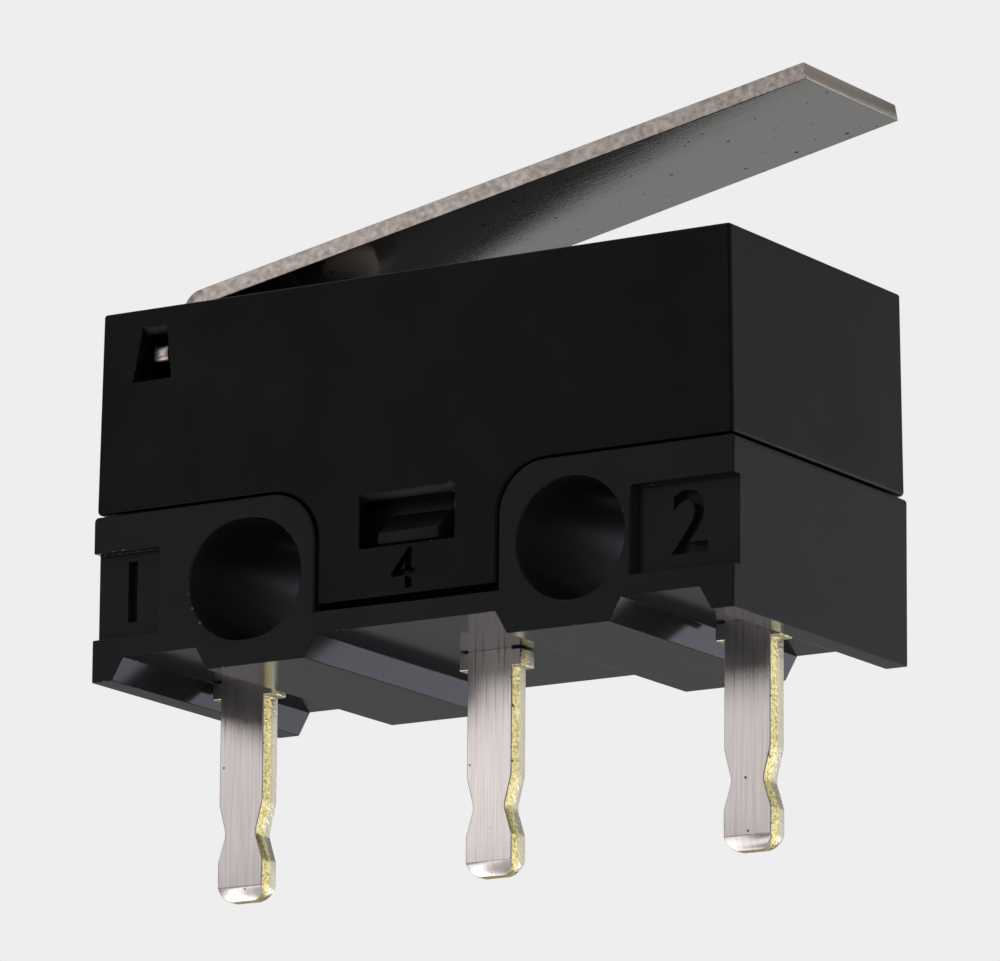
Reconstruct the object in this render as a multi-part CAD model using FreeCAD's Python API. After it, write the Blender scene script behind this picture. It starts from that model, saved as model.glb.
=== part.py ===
import FreeCAD, Part
import math
import os

# Subminiature snap-action switch with a hinge lever and straight printed-circuit terminals.
# Millimetres. X runs from the common terminal to the normally closed one, Y from the front
# face to the back, Z up to the lever. The origin is midway between the two mounting holes.

# Housing
base_length = 12.8
base_width = 5.8
hole_to_top = 5.0          # hole centres up to the cover's top face
hole_to_foot = 1.5         # hole centres down to the feet of the base
parting_height = 1.4       # joint between base and cover, above the hole centres
parting_gap = 0.04
cover_step = 0.03          # the cover's skirt stands this far inside the base
cover_draft = 0.07         # each end of the cover leans in by this much at the top
cover_wall = 0.5
fit_gap = 0.07             # between the cover's inner walls and the base's rim
corner_radius = 0.06
foot_corner_radius = 0.04
parting_end_radius = 0.08   # base and cover round off at the ends of their joint

# Mounting holes and the rounded bosses round them
hole_diameter = 2.1
hole_inset = 3.15          # hole centres in from the ends of the base
hole_stretch = 0.17        # the hole beside the common terminal is longer by this much
hole_chamfer = 0.02
boss_land = 0.36           # wall between a hole and the edge of its boss
boss_corner_radius = 0.9

# Snap tabs in the middle of the cover, one in front and one behind
tab_drop = 0.6             # hole centres down to the tab's lower edge
tab_gap = 0.15             # shadow gap under the tab
window_width = 1.9
window_height = 0.95
window_sill = 0.86         # tab's lower edge up to the window
window_bevel = 0.13
hook_width = 1.2
hook_height = 0.6
hook_nose_height = 0.2     # upright face below the hook's ramp
hook_gap = 0.04            # hook to the window's sill, and hook to the cover's outer face
hook_edge_radius = 0.06

# Base details
rim_height = 0.6
rim_thickness = 0.5
pocket_wall = 0.4
pocket_floor = 1.2         # floor thickness under the middle pocket
foot_height = 0.4          # the feet stand this far below the underside
middle_slot_width = 3.58   # slots between the feet, measured at their ceiling
side_slot_width = 1.5
slot_inset = 0.09          # side slots sit this far inboard of the side terminals
slot_draft = 0.23
pad_height = 1.52          # recessed pads for the contact marks
pad_depth = 0.2
common_pad_length = 1.37
closed_pad_length = 2.0

# Terminals
terminal_inset = 1.32      # outer terminals in from the ends of the base
terminal_width = 0.9
terminal_thickness = 0.45
terminal_length = 3.5      # below the feet
terminal_gap = 0.02        # terminal to its slot in the base
shoulder_width = 1.24
shoulder_height = 0.3
waist_width = 0.62
waist_height = 1.18        # tip up to the middle of the waist
neck_height = 1.72         # tip up to where the shaft starts to narrow
bulb_height = 0.7          # tip up to where the bulb reaches its full width
bulb_width = 0.92
waist_radius = 0.3
bulb_radius = 0.15
tip_radius = 0.26
tip_coin = 0.12            # the coined tip is thinner by this much on each face
tip_coin_height = 0.26

# Lever
lever_thickness = 0.3
lever_width = 3.44          # at the heel
lever_tip_width = 3.12
lever_reach = 12.25        # hinge axis to the tip, along X
lever_angle = 11.3         # rise of the free lever, degrees
lever_travel = 9.3         # free to fully pressed, degrees
lever_bend_radius = 0.1    # inside of the bend at the heel
ear_span = 5.2             # over the ends of both ears
ear_height = 0.36
ear_end_radius = 0.14
ear_gap = 0.07             # ears to the cover's ceiling, where the lever is held down
hinge_inset = 1.13         # hinge axis in from the end of the base
lever_slot_gap = 0.1

# Windows in the cover's sides where the ears show
hinge_window_height = 0.96
hinge_window_top_width = 0.52
hinge_window_top_shift = 0.05
hinge_window_sill_width = 0.8
hinge_window_ceiling = 0.32  # cover's top face down to the window

# Plunger
plunger_reach = 2.34       # hinge axis to the plunger, along X
plunger_diameter = 1.0
plunger_free_height = 0.646
plunger_dome_radius = 0.6
plunger_gap = 0.03         # stem to its guide in the cover
hub_diameter = 1.6
hub_gap = 0.07
foot_plate_length = 0.8
foot_plate_width = 2.2
foot_plate_height = 0.34
nose_radius = 0.2
collar_diameter = 1.9
collar_height = 0.15
touch_gap = 0.02           # pieces of different bodies that only touch

# Snap leaf spring
leaf_thickness = 0.08
leaf_depth = 1.4           # cover's ceiling down to the leaf
leaf_width = 2.2
leaf_window_width = 0.9
leaf_hook_length = 0.28    # crossbar behind the common terminal
leaf_swing = 2.0           # degrees
leaf_tip_width = 1.4
tongue_width = 0.6
tongue_root_inset = 2.9    # from the contacts back to where the tongue leaves the leaf
tongue_bend_radius = 1.5
tongue_bend_angle = 25.0
tongue_drop = 0.38         # the tongue's seat lies this far below the leaf

# Common terminal, inside
hook_notch_depth = 0.13
hook_notch_height = 0.3
post_top = 0.4             # post above the leaf
seat_reach = 1.15          # arm that carries the tongue's seat
seat_arm_height = 0.72
seat_notch_depth = 0.12
seat_notch_height = 0.56
tongue_entry = 0.06        # the tongue reaches this far into its seat

# Contacts and the arms that carry the fixed ones
contact_inset = 1.18       # contacts in from the normally closed terminal
contact_width = 0.5
contact_length = 1.2
contact_height = 0.25
contact_crown = 0.2
contact_crown_share = 0.4  # at most this much of the bar's width on each edge
stamped_radius = 0.08      # corners of the stamped terminals inside the housing
leaf_corner_radius = 0.1
fixed_contact_length = 0.8
arm_overhang = 0.4         # arms and leaf reach past the contacts
arm_lift = 0.15            # open contact's arm above the base
arm_ceiling_gap = 0.25

# Levels and places that follow from the sizes above
same_place = 1e-6          # points nearer than this count as one
base_half_length = base_length / 2
base_half_width = base_width / 2
foot_z = -hole_to_foot
under_z = foot_z + foot_height
top_z = hole_to_top
parting_z = parting_height
skirt_z = parting_z + parting_gap
cover_half_width = base_half_width - cover_step
skirt_half_length = base_half_length - cover_step
top_half_length = skirt_half_length - cover_draft
inner_half_width = cover_half_width - cover_wall
inner_half_length = top_half_length - cover_wall
core_half_width = inner_half_width - fit_gap
ceiling_z = top_z - cover_wall
hole_x = base_half_length - hole_inset
hole_radius = hole_diameter / 2
boss_edge = hole_x - hole_radius - boss_land
tab_z = -tab_drop
ledge_z = tab_z - tab_gap
sill_z = tab_z + window_sill
tip_z = foot_z - terminal_length
hinge_x = hinge_inset - base_half_length
plunger_x = hinge_x + plunger_reach
plunger_radius = plunger_diameter / 2
dome_z = top_z + plunger_free_height - plunger_dome_radius
hinge_z = ceiling_z - ear_gap - ear_height / 2
free_tilt = math.radians(lever_angle)
pressed_tilt = math.radians(lever_angle - lever_travel)
lever_rise = (dome_z - hinge_z) * math.cos(free_tilt) - plunger_reach * math.sin(free_tilt)
pressed_rise = (lever_rise + plunger_reach * math.sin(pressed_tilt)) / math.cos(pressed_tilt)
plunger_travel = dome_z - hinge_z - pressed_rise
leg_swing = (top_z - hinge_z) * math.tan(math.radians(lever_travel))
leaf_z = ceiling_z - leaf_depth
leaf_top = leaf_z + leaf_thickness / 2
leaf_bottom = leaf_z - leaf_thickness / 2
closed_x = base_half_length - terminal_inset
common_x = -closed_x
contact_x = closed_x - contact_inset
tongue_root = contact_x - tongue_root_inset
common_edge = common_x - terminal_width / 2
seated_depth = hook_notch_depth * (1 - leaf_thickness / hook_notch_height)
leaf_pivot_x = common_edge + seated_depth - touch_gap
seat_face_x = common_x + terminal_width / 2 + seat_reach
tongue_tip_x = seat_face_x - tongue_entry
leaf_end_x = contact_x + arm_overhang
swing = math.radians(leaf_swing)
contact_drop = (contact_x - leaf_pivot_x) * math.tan(swing)
closed_contact_z = leaf_top + contact_height + touch_gap
open_contact_z = leaf_bottom - contact_height - contact_drop - touch_gap
nose_clearance = plunger_travel - (plunger_x - leaf_pivot_x) * math.tan(swing) + touch_gap


def front_view(across, up):
    return FreeCAD.Vector(across, 0, up)


def end_view(across, up):
    return FreeCAD.Vector(0, across, up)


def top_view(across, along):
    return FreeCAD.Vector(across, along, 0)


def box(x_low, x_high, y_low, y_high, z_low, z_high):
    corner = FreeCAD.Vector(x_low, y_low, z_low)
    return Part.makeBox(x_high - x_low, y_high - y_low, z_high - z_low, corner)


def outline(view, corners):
    """Closed wire through (across, up, radius) corners, each rounded by a tangent arc."""
    count = len(corners)
    places = [view(across, up) for across, up, radius in corners]
    turns = []
    for index, (across, up, radius) in enumerate(corners):
        here = places[index]
        if radius == 0:
            turns.append((here, here, here))
            continue
        back = (places[index - 1] - here).normalize()
        onward = (places[(index + 1) % count] - here).normalize()
        half_angle = back.getAngle(onward) / 2
        reach = radius / math.tan(half_angle)
        inward = (back + onward).normalize()
        crown = here + inward * (radius / math.sin(half_angle) - radius)
        turns.append((here + back * reach, crown, here + onward * reach))
    edges = []
    for index, (start, crown, end) in enumerate(turns):
        if corners[index][2] > 0:
            edges.append(Part.Arc(start, crown, end).toShape())
        following = turns[(index + 1) % count][0]
        if (following - end).Length > same_place:
            edges.append(Part.makeLine(end, following))
    return Part.Wire(edges)


def slab(view, corners, low, high):
    """Outline extruded between two planes square to its view."""
    direction = view(1, 0).cross(view(0, 1))
    if direction.x + direction.y + direction.z < 0:
        direction = -direction
    face = Part.Face(outline(view, corners))
    face.translate(direction * low)
    return face.extrude(direction * (high - low))


def bent_strip(start, heading, runs, thickness, half_width):
    """Sheet that follows runs of (length, radius, turn) in the front view; a bend has a radius."""
    sides = {1: [], -1: []}
    place = start
    angle = math.radians(heading)
    for length, radius, turn in runs:
        forward = front_view(math.cos(angle), math.sin(angle))
        left = front_view(-math.sin(angle), math.cos(angle))
        if radius == 0:
            for side, edges in sides.items():
                shift = left * (side * thickness / 2)
                edges.append(Part.makeLine(place + shift, place + forward * length + shift))
            place = place + forward * length
            continue
        way = math.copysign(1, turn)
        centre = place + left * (way * radius)
        stations = [angle + math.radians(turn) * share for share in (0, 0.5, 1)]
        for side, edges in sides.items():
            reach = side * thickness / 2 - way * radius
            spots = [centre + front_view(-math.sin(a), math.cos(a)) * reach for a in stations]
            edges.append(Part.Arc(*spots).toShape())
        angle = stations[-1]
        place = centre - front_view(-math.sin(angle), math.cos(angle)) * (way * radius)
    ends = []
    for index in (0, -1):
        spots = [edges[index].Vertexes[index].Point for edges in sides.values()]
        ends.append(Part.makeLine(*spots))
    edges = Part.__sortEdges__(sides[1] + sides[-1] + ends)
    face = Part.Face(Part.Wire(edges))
    face.translate(FreeCAD.Vector(0, -half_width, 0))
    return face.extrude(FreeCAD.Vector(0, 2 * half_width, 0))


def both_sides(solid):
    """A solid and its mirror image across the middle plane, front to back."""
    return [solid, solid.mirror(FreeCAD.Vector(0, 0, 0), FreeCAD.Vector(0, 1, 0))]


def upright_edges(solid, x_places):
    """Edges that stand at the ends of a housing half."""
    found = []
    for edge in solid.Edges:
        low, high = edge.Vertexes[0].Point, edge.Vertexes[-1].Point
        stands = abs(low.z - high.z) > corner_radius and abs(low.y - high.y) < same_place
        spans = [abs(abs(end.x) - place) for end in (low, high) for place in x_places]
        if stands and min(spans) < same_place:
            found.append(edge)
    return found


def hole_wire(x, stretch, radius, depth):
    """Round outline at some depth behind the front face; a stretch makes it oblong along X."""
    half_length = radius + stretch / 2
    corners = [
        (x - half_length, -radius, radius),
        (x + half_length, -radius, radius),
        (x + half_length, radius, radius),
        (x - half_length, radius, radius),
    ]
    wire = outline(front_view, corners)
    wire.translate(FreeCAD.Vector(0, depth - base_half_width, 0))
    return wire


def mounting_hole(x, stretch):
    """Through hole from front to back, with a small chamfer at each mouth."""
    inner = hole_wire(x, stretch, hole_radius, 0)
    bore = Part.Face(inner).extrude(FreeCAD.Vector(0, base_width, 0))
    rim = hole_wire(x, stretch, hole_radius + hole_chamfer, 0)
    throat = hole_wire(x, stretch, hole_radius, hole_chamfer)
    mouth = Part.makeLoft([rim, throat], True, True)
    return bore.multiFuse(both_sides(mouth))


def foot_slot(x, ceiling_width):
    """Drafted slot through the underside, from front to back."""
    half_ceiling = ceiling_width / 2
    half_mouth = half_ceiling + slot_draft
    deep = foot_z - foot_height
    corners = [
        (x - half_mouth, deep, 0),
        (x - half_mouth, foot_z, 0),
        (x - half_ceiling, under_z, 0),
        (x + half_ceiling, under_z, 0),
        (x + half_mouth, foot_z, 0),
        (x + half_mouth, deep, 0),
    ]
    return slab(front_view, corners, -base_width, base_width)


def snap_hook():
    """Wedge on the base that the window of a snap tab drops over: ramp above, catch below."""
    root = core_half_width - rim_thickness / 2
    reach = cover_half_width - hook_gap
    low = sill_z + hook_gap
    corners = [
        (root, low, 0),
        (reach, low, hook_edge_radius),
        (reach, low + hook_nose_height, hook_edge_radius),
        (core_half_width, low + hook_height, 0),
        (root, low + hook_height, 0),
    ]
    return slab(end_view, corners, -hook_width / 2, hook_width / 2)


def make_base():
    profile = [
        (-base_half_length, foot_z, 0),
        (base_half_length, foot_z, 0),
        (base_half_length, parting_z, parting_end_radius),
        (boss_edge, parting_z, boss_corner_radius),
        (boss_edge, ledge_z, 0),
        (-boss_edge, ledge_z, 0),
        (-boss_edge, parting_z, boss_corner_radius),
        (-base_half_length, parting_z, parting_end_radius),
    ]
    body = slab(front_view, profile, -base_half_width, base_half_width)
    body = body.makeFillet(foot_corner_radius, upright_edges(body, [base_half_length]))
    core_half_length = boss_edge + boss_corner_radius
    core = box(-core_half_length, core_half_length, -core_half_width, core_half_width,
               ledge_z - tab_gap, parting_z)
    rim_half_length = inner_half_length - fit_gap
    rim = box(-rim_half_length, rim_half_length, core_half_width - rim_thickness, core_half_width,
              parting_z - rim_thickness, parting_z + rim_height)
    body = body.multiFuse([core] + both_sides(rim) + both_sides(snap_hook()))
    pocket_x = boss_edge - pocket_wall
    pocket_y = core_half_width - rim_thickness
    cuts = [box(-pocket_x, pocket_x, -pocket_y, pocket_y, under_z + pocket_floor, parting_z + rim_height)]
    cuts.append(mounting_hole(-hole_x, hole_stretch))
    cuts.append(mounting_hole(hole_x, 0))
    half_slot = terminal_width / 2 + terminal_gap
    half_gap = terminal_thickness / 2 + terminal_gap
    for x in (common_x, 0, closed_x):
        cuts.append(box(x - half_slot, x + half_slot, -half_gap, half_gap, foot_z, parting_z + rim_height))
    side_slot_x = closed_x - slot_inset
    cuts.append(foot_slot(-side_slot_x, side_slot_width))
    cuts.append(foot_slot(0, middle_slot_width))
    cuts.append(foot_slot(side_slot_x, side_slot_width))
    pad_floor = pad_depth - base_half_width
    cuts.append(box(-base_length, common_pad_length - base_half_length, -base_width, pad_floor,
                    -pad_height / 2, pad_height / 2))
    cuts.append(box(base_half_length - closed_pad_length, base_length, -base_width, pad_floor,
                    -pad_height / 2, pad_height / 2))
    return body.cut(cuts).removeSplitter()


def hinge_window():
    """Window in the side wall that tapers towards its top and has a bevelled upper edge."""
    top = top_z - hinge_window_ceiling
    sill = top - hinge_window_height
    middle = hinge_x + hinge_window_top_shift
    half_top = hinge_window_top_width / 2
    half_sill = hinge_window_sill_width / 2
    inner_top = top - window_bevel
    corners = [
        (hinge_x - half_sill, sill, 0),
        (hinge_x + half_sill, sill, 0),
        (middle + half_top, inner_top, 0),
        (middle - half_top, inner_top, 0),
    ]
    opening = slab(front_view, corners, inner_half_width - fit_gap, base_half_width)
    bevel = bevel_over(middle - half_top, middle + half_top, top)
    return opening.fuse(bevel)


def bevel_over(x_low, x_high, top):
    """Bevel along the upper edge of a window, widest at the outer face."""
    corners = [
        (cover_half_width - window_bevel, top - window_bevel, 0),
        (base_half_width, top - window_bevel, 0),
        (base_half_width, top, 0),
        (cover_half_width, top, 0),
    ]
    return slab(end_view, corners, x_low, x_high)


def snap_window():
    top = sill_z + window_height
    half_width = window_width / 2
    opening = box(-half_width, half_width, inner_half_width - fit_gap, base_half_width,
                  sill_z, top - window_bevel)
    return opening.fuse(bevel_over(-half_width, half_width, top))


def make_cover():
    tab_edge = boss_edge - parting_gap
    arch_radius = boss_corner_radius + parting_gap
    profile = [
        (-top_half_length, top_z, 0),
        (-skirt_half_length, skirt_z, parting_end_radius),
        (-tab_edge, skirt_z, arch_radius),
        (-tab_edge, tab_z, 0),
        (tab_edge, tab_z, 0),
        (tab_edge, skirt_z, arch_radius),
        (skirt_half_length, skirt_z, parting_end_radius),
        (top_half_length, top_z, 0),
    ]
    body = slab(front_view, profile, -cover_half_width, cover_half_width)
    rounded = upright_edges(body, [top_half_length])
    for edge in body.Edges:
        if all(abs(vertex.Point.z - top_z) < same_place for vertex in edge.Vertexes):
            rounded.append(edge)
    body = body.makeFillet(corner_radius, rounded)
    up = FreeCAD.Vector(0, 0, 1)
    collar = Part.makeCylinder(collar_diameter / 2, collar_height + cover_wall,
                               FreeCAD.Vector(plunger_x, 0, ceiling_z), up)
    body = body.fuse(collar)
    guide = Part.makeCylinder(plunger_radius + plunger_gap, cover_wall + collar_height,
                              FreeCAD.Vector(plunger_x, 0, ceiling_z), up)
    cavity = box(-inner_half_length, inner_half_length, -inner_half_width, inner_half_width,
                 tab_z - tab_gap, ceiling_z)
    leg_side = lever_thickness / 2 + lever_slot_gap
    leg_half_width = lever_width / 2 + lever_slot_gap
    leg_slot = box(hinge_x - leg_side, hinge_x + leg_side + leg_swing,
                   -leg_half_width, leg_half_width, ceiling_z, top_z)
    cuts = [cavity, guide, leg_slot] + both_sides(hinge_window()) + both_sides(snap_window())
    return body.cut(cuts).removeSplitter()


def blade_taper():
    """Wedges that narrow the blade from its bend at the heel to its tip."""
    heel_x = hinge_x + lever_thickness
    tip_x = hinge_x + lever_reach
    past_x = tip_x + lever_thickness
    slope = (lever_width - lever_tip_width) / 2 / (tip_x - heel_x)
    corners = [
        (heel_x, lever_width / 2, 0),
        (past_x, lever_width / 2 - slope * (past_x - heel_x), 0),
        (past_x, lever_width, 0),
        (heel_x, lever_width, 0),
    ]
    return both_sides(slab(top_view, corners, hinge_z, top_z + lever_reach))


def make_lever():
    """One stamped strip: a tapered blade, a bend at the heel, and a leg with an ear on each side."""
    offset = lever_rise + plunger_dome_radius + touch_gap + lever_thickness / 2
    radius = lever_bend_radius + lever_thickness / 2
    leg_top = hinge_z + (offset - radius + radius * math.sin(free_tilt)) / math.cos(free_tilt)
    leg_foot = hinge_z - ear_height / 2
    blade_length = (lever_reach - radius + radius * math.sin(free_tilt)) / math.cos(free_tilt)
    runs = [
        (leg_top - leg_foot, 0, 0),
        (0, radius, lever_angle - 90),
        (blade_length, 0, 0),
    ]
    strip = bent_strip(front_view(hinge_x, leg_foot), 90, runs, lever_thickness, lever_width / 2)
    half_span = ear_span / 2
    corners = [
        (-half_span, leg_foot, ear_end_radius),
        (half_span, leg_foot, ear_end_radius),
        (half_span, leg_foot + ear_height, ear_end_radius),
        (-half_span, leg_foot + ear_height, ear_end_radius),
    ]
    ears = slab(end_view, corners, hinge_x - lever_thickness / 2, hinge_x + lever_thickness / 2)
    return strip.fuse(ears).cut(blade_taper()).removeSplitter()


def make_plunger():
    """Domed stem on a hub, with a foot that presses both rails of the leaf."""
    shoulder_z = dome_z + math.sqrt(plunger_dome_radius ** 2 - plunger_radius ** 2)
    apex_z = dome_z + plunger_dome_radius
    slant = math.radians(90) - math.asin(plunger_radius / plunger_dome_radius) / 2
    crown = front_view(math.cos(slant), math.sin(slant)) * plunger_dome_radius + front_view(0, dome_z)
    nose_z = leaf_top + nose_clearance + nose_radius
    plate_top = nose_z + foot_plate_height
    edges = [
        Part.makeLine(front_view(0, nose_z), front_view(plunger_radius, nose_z)),
        Part.makeLine(front_view(plunger_radius, nose_z), front_view(plunger_radius, shoulder_z)),
        Part.Arc(front_view(plunger_radius, shoulder_z), crown, front_view(0, apex_z)).toShape(),
        Part.makeLine(front_view(0, apex_z), front_view(0, nose_z)),
    ]
    axis = FreeCAD.Vector(0, 0, 1)
    stem = Part.Face(Part.Wire(edges)).revolve(FreeCAD.Vector(0, 0, 0), axis, 360)
    stem.translate(FreeCAD.Vector(plunger_x, 0, 0))
    hub = Part.makeCylinder(hub_diameter / 2, ceiling_z - hub_gap - nose_z,
                            FreeCAD.Vector(plunger_x, 0, nose_z), axis)
    half_length = foot_plate_length / 2
    half_width = foot_plate_width / 2
    plate = box(plunger_x - half_length, plunger_x + half_length, -half_width, half_width,
                nose_z, plate_top)
    nose = Part.makeCylinder(nose_radius, foot_plate_width,
                             FreeCAD.Vector(plunger_x, -half_width, nose_z), FreeCAD.Vector(0, 1, 0))
    return stem.multiFuse([hub, plate, nose]).removeSplitter()


def blade_outline(x):
    """Corners of a terminal's blade below the base, from its left shoulder round to its right one."""
    half_shaft = terminal_width / 2
    half_waist = waist_width / 2
    half_bulb = bulb_width / 2
    half_shoulder = shoulder_width / 2
    shoulder_top = under_z - terminal_gap
    shoulder_low = shoulder_top - shoulder_height
    right = [
        (half_shaft, shoulder_top, 0),
        (half_shoulder, shoulder_top, 0),
        (half_shoulder, shoulder_low, 0),
        (half_shaft, shoulder_low, 0),
        (half_shaft, tip_z + neck_height, waist_radius),
        (half_waist, tip_z + waist_height, waist_radius),
        (half_bulb, tip_z + bulb_height, bulb_radius),
        (half_bulb, tip_z, tip_radius),
    ]
    left = [(-across, up, radius) for across, up, radius in reversed(right)]
    return [(x + across, up, radius) for across, up, radius in right + left]


def coined_tip(x):
    """Wedges that thin the tip of a terminal on both faces."""
    face_y = terminal_thickness / 2
    corners = [
        (face_y, tip_z + tip_coin_height, 0),
        (face_y - tip_coin, tip_z, 0),
        (face_y - tip_coin, tip_z - tip_coin_height, 0),
        (face_y + tip_coin, tip_z - tip_coin_height, 0),
        (face_y + tip_coin, tip_z + tip_coin_height, 0),
    ]
    return both_sides(slab(end_view, corners, x - bulb_width, x + bulb_width))


def terminal(x, inner_corners):
    """Stamped terminal: inner_corners run from the left of the shaft over the top to its right."""
    corners = blade_outline(x) + inner_corners
    solid = slab(front_view, corners, -terminal_thickness / 2, terminal_thickness / 2)
    return solid.cut(coined_tip(x))


def make_common_terminal():
    """Post with a notch for the leaf's crossbar, and an arm with the seat of its tongue."""
    left = common_x - terminal_width / 2
    right = common_x + terminal_width / 2
    seat_z = leaf_z - tongue_drop
    half_hook = hook_notch_height / 2
    half_seat = seat_notch_height / 2
    return terminal(common_x, [
        (left, leaf_z - half_hook, 0),
        (left + hook_notch_depth, leaf_z, 0),
        (left, leaf_z + half_hook, 0),
        (left, leaf_z + post_top, stamped_radius),
        (right, leaf_z + post_top, stamped_radius),
        (right, seat_z + seat_arm_height / 2, stamped_radius),
        (seat_face_x, seat_z + seat_arm_height / 2, 0),
        (seat_face_x, seat_z + half_seat, 0),
        (seat_face_x - seat_notch_depth, seat_z, 0),
        (seat_face_x, seat_z - half_seat, 0),
        (seat_face_x, seat_z - seat_arm_height / 2, stamped_radius),
        (right, seat_z - seat_arm_height / 2, stamped_radius),
    ])


def make_open_terminal():
    """Post in the middle, with an arm under the leaf's contacts."""
    half_shaft = terminal_width / 2
    arm_top = open_contact_z - contact_height
    arm_low = parting_z + arm_lift
    return terminal(0, [
        (-half_shaft, arm_top, stamped_radius),
        (leaf_end_x, arm_top, 0),
        (leaf_end_x, arm_low, stamped_radius),
        (half_shaft, arm_low, stamped_radius),
    ])


def make_closed_terminal():
    """Tall post that hooks back over the leaf's contacts."""
    arm_low = closed_contact_z + contact_height
    arm_top = ceiling_z - arm_ceiling_gap
    return terminal(closed_x, [
        (closed_x - terminal_width / 2, arm_low, stamped_radius),
        (contact_x - arm_overhang, arm_low, 0),
        (contact_x - arm_overhang, arm_top, stamped_radius),
        (closed_x + terminal_width / 2, arm_top, stamped_radius),
    ])


def make_leaf():
    """Flat leaf hooked behind the common terminal, with a bowed tongue cut from its middle."""
    half_width = leaf_width / 2
    half_tip = leaf_tip_width / 2
    heel_x = leaf_pivot_x - leaf_hook_length
    corners = [
        (heel_x, -half_width, leaf_corner_radius),
        (tongue_root, -half_width, 0),
        (leaf_end_x, -half_tip, leaf_corner_radius),
        (leaf_end_x, half_tip, leaf_corner_radius),
        (tongue_root, half_width, 0),
        (heel_x, half_width, leaf_corner_radius),
    ]
    leaf = slab(top_view, corners, leaf_bottom, leaf_top)
    window = box(leaf_pivot_x, tongue_root, -leaf_window_width / 2, leaf_window_width / 2,
                 leaf_bottom, leaf_top)
    angle = math.radians(tongue_bend_angle)
    root = front_view(tongue_root, leaf_z)
    knee = root - front_view(math.sin(angle), 1 - math.cos(angle)) * tongue_bend_radius
    chord = front_view(tongue_tip_x, leaf_z - tongue_drop) - knee
    heading = front_view(-math.cos(angle), -math.sin(angle))
    bow_half_turn = heading.getAngle(chord)
    bow_radius = chord.Length / 2 / math.sin(bow_half_turn)
    runs = [
        (leaf_thickness, 0, 0),
        (0, tongue_bend_radius, tongue_bend_angle),
        (0, bow_radius, -2 * math.degrees(bow_half_turn)),
    ]
    start = root + front_view(leaf_thickness, 0)
    tongue = bent_strip(start, 180, runs, leaf_thickness, tongue_width / 2)
    return leaf.cut(window).fuse(tongue).removeSplitter()


def crowned_bar(view, middle, width, base, reach, length, length_middle):
    """Contact bar with a rounded working face; base and reach are its two levels."""
    crown = min(contact_crown, width * contact_crown_share)
    corners = [
        (middle - width / 2, base, 0),
        (middle - width / 2, reach, crown),
        (middle + width / 2, reach, crown),
        (middle + width / 2, base, 0),
    ]
    return slab(view, corners, length_middle - length / 2, length_middle + length / 2)


def moving_contact(base, reach):
    """Bar across the leaf."""
    return crowned_bar(front_view, contact_x, contact_width, base, reach, contact_length, 0)


def fixed_contact(base, reach):
    """Bar along the edge of a terminal's arm, square to the bar that meets it."""
    return crowned_bar(end_view, 0, terminal_thickness, base, reach, fixed_contact_length, contact_x)


pieces = {
    "base": make_base(),
    "cover": make_cover(),
    "lever": make_lever(),
    "plunger": make_plunger(),
    "common_terminal": make_common_terminal(),
    "normally_open_terminal": make_open_terminal(),
    "normally_closed_terminal": make_closed_terminal(),
    "snap_leaf": make_leaf(),
    "upper_moving_contact": moving_contact(leaf_top, leaf_top + contact_height),
    "lower_moving_contact": moving_contact(leaf_bottom, leaf_bottom - contact_height),
    "normally_open_contact": fixed_contact(open_contact_z - contact_height, open_contact_z),
    "normally_closed_contact": fixed_contact(closed_contact_z + contact_height, closed_contact_z),
}

os.makedirs("parts", exist_ok=True)
for name, shape in pieces.items():
    if not shape.isValid() or len(shape.Solids) != 1:
        raise ValueError(name + " is not one valid solid")
    shape.exportStep("parts/" + name + ".step")
    print(name, round(shape.Volume, 4), "mm3,", len(shape.Faces), "faces")
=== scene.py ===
import math

import bmesh
import bpy
from mathutils import Matrix, Vector

# Looks of a subminiature snap-action switch with a hinge lever. Metres, in the part's own frame:
# X towards the lever's free end, Y from the front face to the back, Z up to the lever.

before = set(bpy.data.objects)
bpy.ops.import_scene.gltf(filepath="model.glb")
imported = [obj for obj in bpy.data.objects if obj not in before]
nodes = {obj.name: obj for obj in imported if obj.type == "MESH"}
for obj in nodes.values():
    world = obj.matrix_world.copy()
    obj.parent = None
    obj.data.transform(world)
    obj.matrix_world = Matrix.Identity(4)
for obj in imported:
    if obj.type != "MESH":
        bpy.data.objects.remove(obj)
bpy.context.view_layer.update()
scene = bpy.context.scene

MM = 0.001

# Camera: where the photo was taken from, and a long lens
AIM = Vector((0.2452, -0.3284, 1.8057)) * MM
CAMERA_DISTANCE = 133.758 * MM
CAMERA_AZIMUTH = 32.2945
CAMERA_ELEVATION = -12.7508
CAMERA_ROLL = 0.4205
LENS = 281.92
SENSOR_WIDTH = 36
NEAREST_SEEN = 10 * MM

# Most of a noise lies between these two values. A pair such as FLECK_EDGE holds the levels of a
# noise where a mark begins and where it is full
NOISE_LOW = 0.3
NOISE_HIGH = 0.7

# The smallest speck and the solid middle of each, as parts of the largest radius
SPECK_SMALLEST = 0.35
SPECK_MIDDLE = 0.7


def linear(colour):
    """An sRGB hex colour as the linear RGBA that a shader takes."""
    parts = [int(colour[place:place + 2], 16) / 255 for place in (1, 3, 5)]
    return [part / 12.92 if part <= 0.04045 else ((part + 0.055) / 1.055) ** 2.4
            for part in parts] + [1.0]


def add(tree, kind, inputs=None, **settings):
    """Adds a shader node. An input is a value, a hex colour, a node's output, or a node, which stands
    for its first output."""
    made = tree.nodes.new("ShaderNode" + kind)
    for name, value in settings.items():
        setattr(made, name, value)
    for name, value in (inputs or {}).items():
        if isinstance(value, bpy.types.Node):
            value = value.outputs[0]
        if isinstance(value, bpy.types.NodeSocket):
            tree.links.new(value, made.inputs[name])
        else:
            made.inputs[name].default_value = linear(value) if isinstance(value, str) else value
    return made


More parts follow.
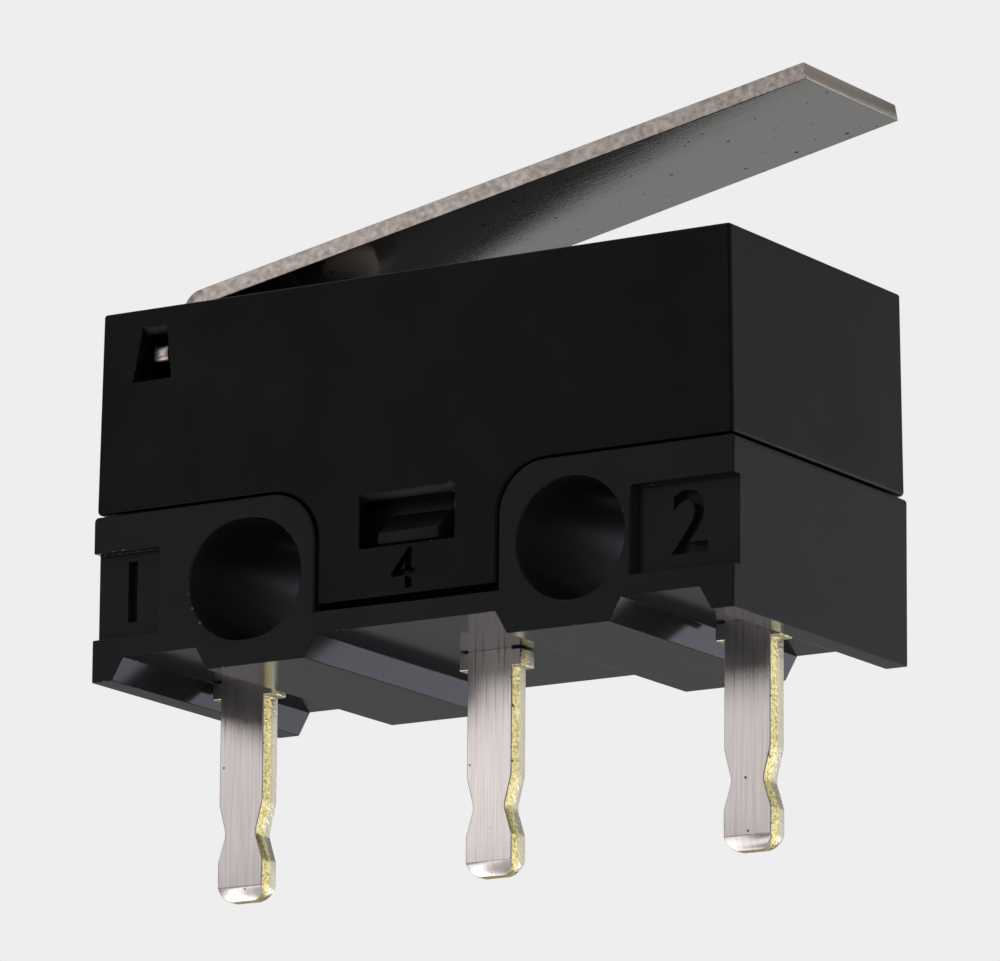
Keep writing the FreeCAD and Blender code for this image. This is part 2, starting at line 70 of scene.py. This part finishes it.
def new_finish(name):
    """An empty material, its node tree, and its coordinates in the part's frame, in metres."""
    material = bpy.data.materials.new(name)
    material.use_nodes = True
    tree = material.node_tree
    tree.nodes.clear()
    return material, tree, add(tree, "TexCoord")


def blotches(tree, place, size, detail):
    """Noise from 0 to 1 whose spots are about size millimetres along X, Y and Z."""
    scale = [1 / (length * MM) for length in size]
    stretched = add(tree, "Mapping", {"Vector": place, "Scale": scale})
    return add(tree, "TexNoise", {"Vector": stretched, "Scale": 1.0, "Detail": detail})


def specks(tree, place, spacing, radius, share, plane=None):
    """1 inside small spots of up to this radius in millimetres, in a share of the cells; 0 elsewhere.

    With a plane, such as "XZ", its spots go right through the piece, so each cell can show one."""
    spread = "3D"
    if plane:
        spread = "2D"
        parts = add(tree, "SeparateXYZ", {"Vector": place})
        place = add(tree, "CombineXYZ", {"X": parts.outputs[plane[0]], "Y": parts.outputs[plane[1]]})
    cells = add(tree, "TexVoronoi", {"Vector": place, "Scale": 1 / (spacing * MM)},
                voronoi_dimensions=spread)
    chance = add(tree, "SeparateColor", {"Color": cells.outputs["Color"]})
    reach = add(tree, "MapRange", {"Value": chance.outputs[1], "To Min": SPECK_SMALLEST, "To Max": 1.0})
    away = add(tree, "Math", {0: cells.outputs["Distance"], 1: reach}, operation="DIVIDE")
    near = add(tree, "MapRange", {"Value": away, "From Min": radius / spacing,
                                  "From Max": SPECK_MIDDLE * radius / spacing})
    kept = add(tree, "Math", {0: chance.outputs[0], 1: share}, operation="LESS_THAN")
    return add(tree, "Math", {0: near, 1: kept}, operation="MULTIPLY")


# Glass-filled PBT, moulded in a spark-eroded tool: near black, matt on the faces, with a very fine
# grain, slow patches of sheen where the melt ran and a little pale dust. The undersides and the
# walls of the slots between the feet are smooth, so they shine. The real grain is about 0.02 mm
# and is drawn coarser, so that it shows
COVER_PBT = ("#090909", "#0c0c0c")
BASE_PBT = ("#1b1c1e", "#202124")
PBT_DUST = "#6d6a62"
PBT_GRAIN = 0.05
PBT_SHEEN_PATCH = 1.4
PBT_FLECK = 0.09
PBT_SPECULAR = 0.12
PBT_MATT = (0.34, 0.42)
PBT_SMOOTH = 0.13
DUST_SPACING = 0.5
DUST_RADIUS = 0.02
DUST_SHARE = 0.4
SLOT_TOP = -0.8            # the slots lie below this height
SLOT_REACH = 6.3           # and nearer the middle than this, along X
SLOT_EDGE = 0.05           # width of the change from matt to smooth
UNDERSIDE = (-0.8, -0.95)  # a face turns into an underside between these, by its normal along Z,
CROSSWISE = (0.6, 0.4)     # and into a wall across the slots between these, along Y
FLECK_EDGE = (0.6, 0.68)
FLECK_RUNS = (0.45, 0.6)
GRAIN_DEPTH = 0.002


def moulded_pbt(name, colours, on_edges=False):
    """The faces' finish, or that of the eased edges, where ragged flecks of flash are painted pale as
    glints of light.
    """
    material, tree, coordinates = new_finish(name)
    place = coordinates.outputs["Object"]
    facing = add(tree, "SeparateXYZ", {"Vector": coordinates.outputs["Normal"]})
    spot = add(tree, "SeparateXYZ", {"Vector": place})
    downward = add(tree, "MapRange", {"Value": facing.outputs["Z"], "From Min": UNDERSIDE[0],
                                      "From Max": UNDERSIDE[1]})
    off_middle = add(tree, "Math", {0: spot.outputs["X"]}, operation="ABSOLUTE")
    low = add(tree, "MapRange", {"Value": spot.outputs["Z"], "From Min": SLOT_TOP * MM,
                                 "From Max": (SLOT_TOP - SLOT_EDGE) * MM})
    inner = add(tree, "MapRange", {"Value": off_middle, "From Min": SLOT_REACH * MM,
                                   "From Max": (SLOT_REACH - SLOT_EDGE) * MM})
    sideways = add(tree, "Math", {0: facing.outputs["Y"]}, operation="ABSOLUTE")
    crosswise = add(tree, "MapRange", {"Value": sideways, "From Min": CROSSWISE[0],
                                       "From Max": CROSSWISE[1]})
    low_inner = add(tree, "Math", {0: low, 1: inner}, operation="MULTIPLY")
    in_slots = add(tree, "Math", {0: low_inner, 1: crosswise}, operation="MULTIPLY")
    smooth = add(tree, "Math", {0: downward, 1: in_slots}, operation="MAXIMUM")
    patch = blotches(tree, place, (PBT_SHEEN_PATCH,) * 3, 3.0)
    grain = blotches(tree, place, (PBT_GRAIN,) * 3, 2.0)
    if on_edges:
        # Painted highlights: on the eased edges, ragged flecks of moulding flash are painted pale as
        # glints
        flecks = blotches(tree, place, (PBT_FLECK,) * 3, 3.0)
        runs = blotches(tree, place, (PBT_SHEEN_PATCH,) * 3, 1.0)
        ragged = add(tree, "MapRange", {"Value": flecks, "From Min": FLECK_EDGE[0],
                                        "From Max": FLECK_EDGE[1]})
        sparse = add(tree, "MapRange", {"Value": runs, "From Min": FLECK_RUNS[0],
                                        "From Max": FLECK_RUNS[1]})
        dust = add(tree, "Math", {0: ragged, 1: sparse}, operation="MULTIPLY")
    else:
        dust = specks(tree, place, DUST_SPACING, DUST_RADIUS, DUST_SHARE)
    clouded = add(tree, "MixRGB", {"Fac": patch, "Color1": colours[0], "Color2": colours[1]})
    # Pale dust on the faces; painted glints on the eased edges
    colour = add(tree, "MixRGB", {"Fac": dust, "Color1": clouded, "Color2": PBT_DUST})
    matt = add(tree, "MapRange", {"Value": patch, "From Min": NOISE_LOW, "From Max": NOISE_HIGH,
                                  "To Min": PBT_MATT[0], "To Max": PBT_MATT[1]})
    sheen = add(tree, "MapRange", {"Value": smooth, "To Min": matt, "To Max": PBT_SMOOTH})
    bump = add(tree, "Bump", {"Strength": 0.15, "Distance": GRAIN_DEPTH * MM, "Height": grain})
    shader = add(tree, "BsdfPrincipled", {
        "Base Color": colour, "Roughness": sheen, "Specular IOR Level": PBT_SPECULAR, "Normal": bump})
    add(tree, "OutputMaterial", {"Surface": shader})
    return material


# Stainless strip, rolled bright and blanked: the faces mirror softly, and faint rolling lines and a
# pickled grain fray what they mirror. A few dark pits are scattered over them. The sheared edge is
# a soft, granular, slightly pink grey, and the cut-off end is plainer. The real rolling lines and
# pickled grain are about 0.01 mm and are drawn coarser, so that they show
STEEL = "#cbcac8"
STEEL_PIT = "#26221f"
STEEL_EDGE = "#e2d6cf"
STEEL_EDGE_DARK = "#aea19a"
STEEL_END = "#aaa399"
ROLLING_LINE = (2.5, 0.03, 2.5)
PICKLED_GRAIN = (0.05, 0.05, 0.05)
SHEARED_GRAIN = (0.12, 0.12, 0.1)
LARGE_PITS = (0.47, 0.055, 0.15)   # spacing, radius and share
SMALL_PITS = (0.23, 0.03, 0.08)
STEEL_GLOSS = (0.08, 0.14)
SHEARED_GLOSS = 0.36
SHEARED_FACE = (0.5, 0.8)          # a face turns into a sheared one between these, by its normal
ROLLING_DEPTH = 0.003
PICKLED_DEPTH = 0.0035
SHEARED_DEPTH = 0.015


def rolled_steel():
    material, tree, coordinates = new_finish("stainless steel")
    place = coordinates.outputs["Object"]
    facing = add(tree, "SeparateXYZ", {"Vector": coordinates.outputs["Normal"]})
    sideways = add(tree, "Math", {0: facing.outputs["Y"]}, operation="ABSOLUTE")
    long_edge = add(tree, "MapRange", {"Value": sideways, "From Min": SHEARED_FACE[0],
                                       "From Max": SHEARED_FACE[1]})
    cut_off = add(tree, "MapRange", {"Value": facing.outputs["X"], "From Min": SHEARED_FACE[0],
                                     "From Max": SHEARED_FACE[1]})
    sheared = add(tree, "Math", {0: long_edge, 1: cut_off}, operation="MAXIMUM")
    lines = blotches(tree, place, ROLLING_LINE, 3.0)
    pickle = blotches(tree, place, PICKLED_GRAIN, 2.0)
    grit = blotches(tree, place, SHEARED_GRAIN, 3.0)
    pit = add(tree, "Math", {0: specks(tree, place, *LARGE_PITS, plane="XY"),
                             1: specks(tree, place, *SMALL_PITS, plane="XY")}, operation="MAXIMUM")
    face = add(tree, "MixRGB", {"Fac": pit, "Color1": STEEL, "Color2": STEEL_PIT})
    grains = add(tree, "MapRange", {"Value": grit, "From Min": NOISE_LOW, "From Max": NOISE_HIGH})
    granular = add(tree, "MixRGB", {"Fac": grains, "Color1": STEEL_EDGE_DARK, "Color2": STEEL_EDGE})
    edge = add(tree, "MixRGB", {"Fac": cut_off, "Color1": granular, "Color2": STEEL_END})
    colour = add(tree, "MixRGB", {"Fac": sheared, "Color1": face, "Color2": edge})
    rolled_gloss = add(tree, "MapRange", {"Value": lines, "From Min": NOISE_LOW, "From Max": NOISE_HIGH,
                                          "To Min": STEEL_GLOSS[0], "To Max": STEEL_GLOSS[1]})
    gloss = add(tree, "MapRange", {"Value": sheared, "To Min": rolled_gloss, "To Max": SHEARED_GLOSS})
    torn_grit = add(tree, "Math", {0: grit, 1: sheared}, operation="MULTIPLY")
    rolled = add(tree, "Bump", {"Strength": 0.5, "Distance": ROLLING_DEPTH * MM, "Height": lines})
    pickled = add(tree, "Bump", {"Strength": 0.4, "Distance": PICKLED_DEPTH * MM, "Height": pickle,
                                 "Normal": rolled})
    torn = add(tree, "Bump", {"Strength": 0.4, "Distance": SHEARED_DEPTH * MM, "Height": torn_grit,
                              "Normal": pickled})
    shader = add(tree, "BsdfPrincipled", {
        "Base Color": colour, "Metallic": 1.0, "Roughness": gloss, "Normal": torn})
    add(tree, "OutputMaterial", {"Surface": shader})
    return material


# Brown phenolic, moulded: dull, with a faint cloudy colour
PHENOLIC = "#8c8279"
PHENOLIC_LIGHT = "#988d84"
PHENOLIC_CLOUD = (0.25, 0.25, 0.25)
PHENOLIC_DEPTH = 0.003
PHENOLIC_ROUGHNESS = 0.6
PHENOLIC_SPECULAR = 0.2


def moulded_phenolic():
    material, tree, coordinates = new_finish("moulded phenolic")
    cloud = blotches(tree, coordinates.outputs["Object"], PHENOLIC_CLOUD, 3.0)
    colour = add(tree, "MixRGB", {"Fac": cloud, "Color1": PHENOLIC, "Color2": PHENOLIC_LIGHT})
    bump = add(tree, "Bump", {"Strength": 0.2, "Distance": PHENOLIC_DEPTH * MM, "Height": cloud})
    shader = add(tree, "BsdfPrincipled", {
        "Base Color": colour, "Roughness": PHENOLIC_ROUGHNESS, "Specular IOR Level": PHENOLIC_SPECULAR,
        "Normal": bump})
    add(tree, "OutputMaterial", {"Surface": shader})
    return material


# Silver-plated brass strip, stamped: the plated faces are a slightly pink pale grey with drawn
# streaks, with the housing's shade painted on in streaks near the root. On the sheared edges the
# punch smeared the plating over the back half and tore the front half, which shows bare, rough
# yellow brass with dark specks. The drawn streaks are about 0.01 mm across in the real strip and
# are drawn coarser, so that they show
PLATING = "#e0d8d6"
PLATING_STREAK = "#cfc5c3"
PLATING_TARNISH = "#7d6f6b"
PLATING_SPECK = "#4a3f3b"
BRASS = "#faf2bc"
BRASS_DARK = "#c2ad62"
BRASS_SPECK = "#57491c"
SMEARED = "#dfd8c4"
DRAWN_STREAK = (0.03, 1.0, 1.4)
TORN_GRAIN = (0.08, 0.08, 0.06)
PLATING_SPECKS = (0.42, 0.028, 0.14)   # spacing, radius and share
ROOT_LOW = -2.4            # painted shade begins here and is full at the root
ROOT_HIGH = -1.7
TEAR_DEPTH = 0.03          # the tear reaches this far behind the strip's middle plane,
TEAR_WANDER = 0.08         # give or take this much
CRUMB_REACH = (-0.05, -0.17)   # dark crumbs begin and are full this far in front of that plane
CRUMB_EDGE = (0.58, 0.64)
BRASS_GRAINS = (0.35, 0.6)
DARK_STREAKS = (0.56, 0.72)
PLATED_FACE = (0.55, 0.7)  # an edge turns into a plated face between these, by its normal along Y
TORN_DEPTH = 0.02
STREAK_DEPTH = 0.003
PLATED_GLOSS = 0.25
TORN_GLOSS = 0.45
SMEARED_GLOSS = 0.3
PLATING_SPREAD = 0.6       # brushed across the strip, so highlights are drawn out up and down


def plated_brass():
    material, tree, coordinates = new_finish("silver-plated brass")
    place = coordinates.outputs["Object"]
    facing = add(tree, "SeparateXYZ", {"Vector": coordinates.outputs["Normal"]})
    spot = add(tree, "SeparateXYZ", {"Vector": place})
    sideways = add(tree, "Math", {0: facing.outputs["Y"]}, operation="ABSOLUTE")
    plated = add(tree, "MapRange", {"Value": sideways, "From Min": PLATED_FACE[0],
                                    "From Max": PLATED_FACE[1]})
    streaks = blotches(tree, place, DRAWN_STREAK, 3.0)
    grit = blotches(tree, place, TORN_GRAIN, 3.0)

    # Painted shade: the plated faces darken in streaks towards the root, where the housing shades them
    near_root = add(tree, "MapRange", {"Value": spot.outputs["Z"], "From Min": ROOT_LOW * MM,
                                       "From Max": ROOT_HIGH * MM})
    dark_streaks = add(tree, "MapRange", {"Value": streaks, "From Min": DARK_STREAKS[0],
                                          "From Max": DARK_STREAKS[1]})
    tarnish = add(tree, "Math", {0: dark_streaks, 1: near_root}, operation="MULTIPLY")
    all_streaks = add(tree, "MapRange", {"Value": streaks, "From Min": NOISE_LOW,
                                         "From Max": NOISE_HIGH})
    drawn = add(tree, "MixRGB", {"Fac": all_streaks, "Color1": PLATING, "Color2": PLATING_STREAK})
    tarnished = add(tree, "MixRGB", {"Fac": tarnish, "Color1": drawn, "Color2": PLATING_TARNISH})
    speck = specks(tree, place, *PLATING_SPECKS, plane="XZ")
    face = add(tree, "MixRGB", {"Fac": speck, "Color1": tarnished, "Color2": PLATING_SPECK})

    border = add(tree, "MapRange", {"Value": grit, "To Min": (TEAR_DEPTH - TEAR_WANDER) * MM,
                                    "To Max": (TEAR_DEPTH + TEAR_WANDER) * MM})
    behind = add(tree, "Math", {0: spot.outputs["Y"], 1: border}, operation="GREATER_THAN")
    coarse = add(tree, "MapRange", {"Value": grit, "From Min": CRUMB_EDGE[0], "From Max": CRUMB_EDGE[1]})
    in_front = add(tree, "MapRange", {"Value": spot.outputs["Y"], "From Min": CRUMB_REACH[0] * MM,
                                      "From Max": CRUMB_REACH[1] * MM})
    crumbs = add(tree, "Math", {0: coarse, 1: in_front}, operation="MULTIPLY")
    grains = add(tree, "MapRange", {"Value": grit, "From Min": BRASS_GRAINS[0],
                                    "From Max": BRASS_GRAINS[1]})
    bare = add(tree, "MixRGB", {"Fac": grains, "Color1": BRASS_DARK, "Color2": BRASS})
    torn_brass = add(tree, "MixRGB", {"Fac": crumbs, "Color1": bare, "Color2": BRASS_SPECK})
    edge = add(tree, "MixRGB", {"Fac": behind, "Color1": torn_brass, "Color2": SMEARED})
    colour = add(tree, "MixRGB", {"Fac": plated, "Color1": edge, "Color2": face})

    edge_gloss = add(tree, "MapRange", {"Value": behind, "To Min": TORN_GLOSS, "To Max": SMEARED_GLOSS})
    gloss = add(tree, "MapRange", {"Value": plated, "To Min": edge_gloss, "To Max": PLATED_GLOSS})
    unplated = add(tree, "MapRange", {"Value": plated, "To Min": 1.0, "To Max": 0.0})
    torn_grit = add(tree, "Math", {0: grit, 1: unplated}, operation="MULTIPLY")
    torn = add(tree, "Bump", {"Strength": 0.6, "Distance": TORN_DEPTH * MM, "Height": torn_grit})
    lines = add(tree, "Bump", {"Strength": 0.06, "Distance": STREAK_DEPTH * MM, "Height": streaks,
                               "Normal": torn})
    around = add(tree, "Tangent", direction_type="RADIAL", axis="Z")
    shader = add(tree, "BsdfPrincipled", {
        "Base Color": colour, "Metallic": 1.0, "Roughness": gloss, "Anisotropic": PLATING_SPREAD,
        "Anisotropic Rotation": 0.25, "Normal": lines, "Tangent": around})
    add(tree, "OutputMaterial", {"Surface": shader})
    return material


# Beryllium copper strip, rolled: warm and bright, with fine rolling lines, drawn coarser than the
# real ones so that they show
SPRING_COPPER = "#c48f62"
COPPER_LINE = (1.5, 0.03, 1.5)
COPPER_GLOSS = (0.2, 0.4)


def spring_strip():
    material, tree, coordinates = new_finish("beryllium copper")
    lines = blotches(tree, coordinates.outputs["Object"], COPPER_LINE, 3.0)
    gloss = add(tree, "MapRange", {"Value": lines, "To Min": COPPER_GLOSS[0], "To Max": COPPER_GLOSS[1]})
    shader = add(tree, "BsdfPrincipled", {
        "Base Color": SPRING_COPPER, "Metallic": 1.0, "Roughness": gloss})
    add(tree, "OutputMaterial", {"Surface": shader})
    return material


# Silver alloy contact bars, drawn and cut: pale and softly shining, a little uneven
CONTACT_SILVER = "#dcdad4"
SILVER_GRAIN = (0.03, 0.03, 0.03)
SILVER_GLOSS = (0.2, 0.35)


def drawn_silver():
    material, tree, coordinates = new_finish("contact silver")
    grain = blotches(tree, coordinates.outputs["Object"], SILVER_GRAIN, 2.0)
    gloss = add(tree, "MapRange", {"Value": grain, "To Min": SILVER_GLOSS[0], "To Max": SILVER_GLOSS[1]})
    shader = add(tree, "BsdfPrincipled", {
        "Base Color": CONTACT_SILVER, "Metallic": 1.0, "Roughness": gloss})
    add(tree, "OutputMaterial", {"Surface": shader})
    return material


# Eased edges, in millimetres: moulded and tumbled pieces have no razor-sharp corner
EDGES = {
    "base": 0.016,
    "cover": 0.016,
    "lever": 0.02,
    "plunger": 0.03,
    "common_terminal": 0.02,
    "normally_open_terminal": 0.02,
    "normally_closed_terminal": 0.02,
    "snap_leaf": 0.02,
    "upper_moving_contact": 0.02,
    "lower_moving_contact": 0.02,
    "normally_open_contact": 0.02,
    "normally_closed_contact": 0.02,
}
WELD_GAP = 0.0005
FLAT_ANGLE = 0.4
SHARP_ANGLE = 35
SHADING_WEIGHT = 80


def ease_edges(piece, width, edge_slot):
    """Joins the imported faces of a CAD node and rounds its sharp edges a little."""
    weld = piece.modifiers.new("weld", "WELD")
    weld.merge_threshold = WELD_GAP * MM
    flat = piece.modifiers.new("flat faces", "DECIMATE")
    flat.decimate_type = "DISSOLVE"
    flat.angle_limit = math.radians(FLAT_ANGLE)
    bevel = piece.modifiers.new("eased edges", "BEVEL")
    bevel.width = width * MM
    bevel.segments = 2
    bevel.limit_method = "ANGLE"
    bevel.angle_limit = math.radians(SHARP_ANGLE)
    bevel.use_clamp_overlap = True
    bevel.material = edge_slot
    normals = piece.modifiers.new("shading", "WEIGHTED_NORMAL")
    normals.weight = SHADING_WEIGHT
    normals.keep_sharp = False


def dress_nodes():
    """Gives each node its finish, and the two mouldings another one on their eased edges."""
    brass = plated_brass()
    silver = drawn_silver()
    finishes = {
        "base": [moulded_pbt("moulded PBT, base", BASE_PBT),
                 moulded_pbt("moulded PBT, base edges", BASE_PBT, on_edges=True)],
        "cover": [moulded_pbt("moulded PBT, cover", COVER_PBT),
                  moulded_pbt("moulded PBT, cover edges", COVER_PBT, on_edges=True)],
        "lever": [rolled_steel()],
        "plunger": [moulded_phenolic()],
        "common_terminal": [brass],
        "normally_open_terminal": [brass],
        "normally_closed_terminal": [brass],
        "snap_leaf": [spring_strip()],
        "upper_moving_contact": [silver],
        "lower_moving_contact": [silver],
        "normally_open_contact": [silver],
        "normally_closed_contact": [silver],
    }
    for name, width in EDGES.items():
        piece = nodes[name]
        piece.data.materials.clear()
        for finish in finishes[name]:
            piece.data.materials.append(finish)
        ease_edges(piece, width, edge_slot=1 if len(finishes[name]) == 2 else -1)


# Terminal numbers moulded into the pads and the tab: 1 common, 2 normally closed, 4 normally open.
# Each has its node, height, and middle along X, Y and Z, in millimetres
PAD_FACE = -2.7
TAB_FACE = -2.87
NUMERALS = {
    "1": ("base", 1.5, (-5.7, PAD_FACE, 0.0)),
    "2": ("base", 1.5, (5.45, PAD_FACE, 0.0)),
    "4": ("cover", 0.95, (-0.05, TAB_FACE, -0.2)),
}
MARK_DEPTH = 0.16
STROKE_GAIN = 0.02
CURVE_STEPS = 4


def mould_number(piece, number, height, middle):
    """Sinks a plain numeral into the front of a piece, with a cutter that is never shown."""
    glyph = bpy.data.curves.new("numeral", "FONT")
    glyph.body = number
    glyph.size = height * MM
    glyph.align_x = "CENTER"
    glyph.align_y = "CENTER"
    glyph.resolution_u = CURVE_STEPS
    glyph.extrude = MARK_DEPTH * MM
    glyph.offset = STROKE_GAIN * MM
    letter = bpy.data.objects.new("numeral", glyph)
    scene.collection.objects.link(letter)
    depsgraph = bpy.context.evaluated_depsgraph_get()
    shape = bpy.data.meshes.new_from_object(letter.evaluated_get(depsgraph))
    bpy.data.objects.remove(letter)
    solid = bmesh.new()
    solid.from_mesh(shape)
    bmesh.ops.remove_doubles(solid, verts=solid.verts, dist=WELD_GAP * MM)
    bmesh.ops.recalc_face_normals(solid, faces=solid.faces)
    solid.to_mesh(shape)
    solid.free()
    cutter = bpy.data.objects.new("cutter_" + number, shape)
    scene.collection.objects.link(cutter)
    upright = Matrix.Rotation(math.radians(90), 4, "X")
    cutter.matrix_world = Matrix.Translation(Vector(middle) * MM) @ upright
    cutter.hide_render = True
    cutter.hide_viewport = True
    sunk = piece.modifiers.new("moulded " + number, "BOOLEAN")
    sunk.operation = "DIFFERENCE"
    sunk.solver = "EXACT"
    sunk.object = cutter


def outward(azimuth, elevation):
    """Direction away from the switch; azimuth 0 is in front, 90 at the lever's free end."""
    around = math.radians(azimuth)
    up = math.radians(elevation)
    return Vector((math.sin(around) * math.cos(up), -math.cos(around) * math.cos(up), math.sin(up)))


def make_camera():
    back = outward(CAMERA_AZIMUTH, CAMERA_ELEVATION)
    data = bpy.data.cameras.new("camera")
    data.sensor_fit = "HORIZONTAL"
    data.sensor_width = SENSOR_WIDTH
    data.lens = LENS
    data.clip_start = NEAREST_SEEN
    camera = bpy.data.objects.new("camera", data)
    scene.collection.objects.link(camera)
    roll = Matrix.Rotation(math.radians(CAMERA_ROLL), 3, "Z")
    turn = back.to_track_quat("Z", "Y").to_matrix() @ roll
    camera.matrix_world = Matrix.Translation(AIM + back * CAMERA_DISTANCE) @ turn.to_4x4()
    scene.camera = camera


# Softboxes: azimuth, elevation, distance and size in millimetres, power in watts, and colour.
# The key lights the front faces and the lever's edge and shows in the plated faces. Their coined
# tips mirror the front floor card and the window card, which also shows over the tab. The slot card
# lifts the middle terminal alone. The undersides of the lever and the housing mirror the back low
# card, the slots' drafted walls and the bores the low card. The right one lights the far end and
# the torn brass, and the top one the lever's underside by way of the roof
SOFTBOXES = {
    "key": (-35, 14, 110, (50, 30), 0.0062, "#ffffff"),
    "slot card": (-32, -8, 12, (4, 4), 0.000016, "#ffffff"),
    "front floor card": (-34, -29, 95, (70, 42), 0.0102, "#ffffff"),
    "window card": (-68, -50, 70, (40, 40), 0.01, "#ffffff"),
    "back low card": (-157, -26, 110, (70, 50), 0.0005, "#ffffff"),
    "low card": (151, -23, 110, (38, 50), 0.024, "#e4e8f6"),
    "right": (108, -13, 110, (110, 80), 0.035, "#ffffff"),
    "top": (20, 75, 240, (160, 160), 0.04, "#ffffff"),
}


def soft_light(name, azimuth, elevation, distance, size, power, colour):
    """Softbox that faces the switch."""
    back = outward(azimuth, elevation)
    data = bpy.data.lights.new(name, "AREA")
    data.shape = "RECTANGLE"
    data.size = size[0] * MM
    data.size_y = size[1] * MM
    data.energy = power
    data.color = linear(colour)[:3]
    lamp = bpy.data.objects.new(name, data)
    scene.collection.objects.link(lamp)
    turn = back.to_track_quat("Z", "Y").to_matrix()
    lamp.matrix_world = Matrix.Translation(back * distance * MM) @ turn.to_4x4()
    lamp.visible_camera = False


# Studio: a pale wall behind the switch and on its right, up to about 20 degrees, a pale ceiling from
# about 30 degrees, and a dim room in front, where the black mouldings and the steel find something
# dark to mirror. The limits are parts of the direction that looks there
WALL_PALE = "#e8e8e8"
CEILING_PALE = "#b4b4b4"
ROOM_DIM = "#484848"
BACKDROP = "#eeeeee"
WALL_BEHIND = (-0.1, 0.7)
WALL_BESIDE = (0.35, 0.75)
WALL_TOP = (0.26, 0.36)
CEILING_EDGE = (0.36, 0.5)


def make_studio():
    world = bpy.data.worlds.new("studio")
    scene.world = world
    world.use_nodes = True
    tree = world.node_tree
    tree.nodes.clear()
    direction = add(tree, "SeparateXYZ", {"Vector": add(tree, "TexCoord").outputs["Generated"]})
    behind = add(tree, "MapRange", {"Value": direction.outputs["Y"], "From Min": WALL_BEHIND[0],
                                    "From Max": WALL_BEHIND[1]}, interpolation_type="SMOOTHSTEP")
    beside = add(tree, "MapRange", {"Value": direction.outputs["X"], "From Min": WALL_BESIDE[0],
                                    "From Max": WALL_BESIDE[1]})
    low = add(tree, "MapRange", {"Value": direction.outputs["Z"], "From Min": WALL_TOP[0],
                                 "From Max": WALL_TOP[1], "To Min": 1.0, "To Max": 0.0},
              interpolation_type="SMOOTHSTEP")
    high = add(tree, "MapRange", {"Value": direction.outputs["Z"], "From Min": CEILING_EDGE[0],
                                  "From Max": CEILING_EDGE[1]})
    around = add(tree, "Math", {0: behind, 1: beside}, operation="MAXIMUM")
    wall = add(tree, "Math", {0: around, 1: low}, operation="MULTIPLY")
    walls = add(tree, "MixRGB", {"Fac": wall, "Color1": ROOM_DIM, "Color2": WALL_PALE})
    lit = add(tree, "MixRGB", {"Fac": high, "Color1": walls, "Color2": CEILING_PALE})
    seen = add(tree, "LightPath").outputs["Is Camera Ray"]
    shown = add(tree, "MixRGB", {"Fac": seen, "Color1": lit, "Color2": BACKDROP})
    background = add(tree, "Background", {"Color": shown, "Strength": 1.0})
    add(tree, "OutputWorld", {"Surface": background})


# Floor: a round sheet of pale paper that looks a little paler than it lights the switch. From below
# it is clear, so that the underside can be looked at
FLOOR_LEVEL = -60 * MM
FLOOR_RADIUS = 900 * MM
FLOOR_SIDES = 96
FLOOR_PAPER = "#bababa"
FLOOR_LIFT = 0.55


def make_floor():
    turns = [2 * math.pi * side / FLOOR_SIDES for side in range(FLOOR_SIDES)]
    rim = [(math.cos(turn) * FLOOR_RADIUS, math.sin(turn) * FLOOR_RADIUS, FLOOR_LEVEL) for turn in turns]
    mesh = bpy.data.meshes.new("floor")
    mesh.from_pydata(rim, [], [list(range(FLOOR_SIDES))])
    floor = bpy.data.objects.new("floor", mesh)
    scene.collection.objects.link(floor)
    material, tree = new_finish("pale paper")[:2]
    matt = add(tree, "BsdfDiffuse", {"Color": FLOOR_PAPER})
    lift = add(tree, "Emission", {"Color": "#ffffff", "Strength": FLOOR_LIFT})
    lifted = add(tree, "AddShader", {0: matt, 1: lift})
    seen = add(tree, "LightPath").outputs["Is Camera Ray"]
    shown = add(tree, "MixShader", {0: seen, 1: matt, 2: lifted})
    behind = add(tree, "NewGeometry").outputs["Backfacing"]
    from_below = add(tree, "Math", {0: seen, 1: behind}, operation="MULTIPLY")
    clear = add(tree, "BsdfTransparent")
    one_sided = add(tree, "MixShader", {0: from_below, 1: shown, 2: clear})
    add(tree, "OutputMaterial", {"Surface": one_sided})
    mesh.materials.append(material)


dress_nodes()
for number, (node, height, middle) in NUMERALS.items():
    mould_number(nodes[node], number, height, middle)
make_studio()
make_floor()
make_camera()
scene.view_settings.view_transform = "Standard"
for name, softbox in SOFTBOXES.items():
    soft_light(name, *softbox)
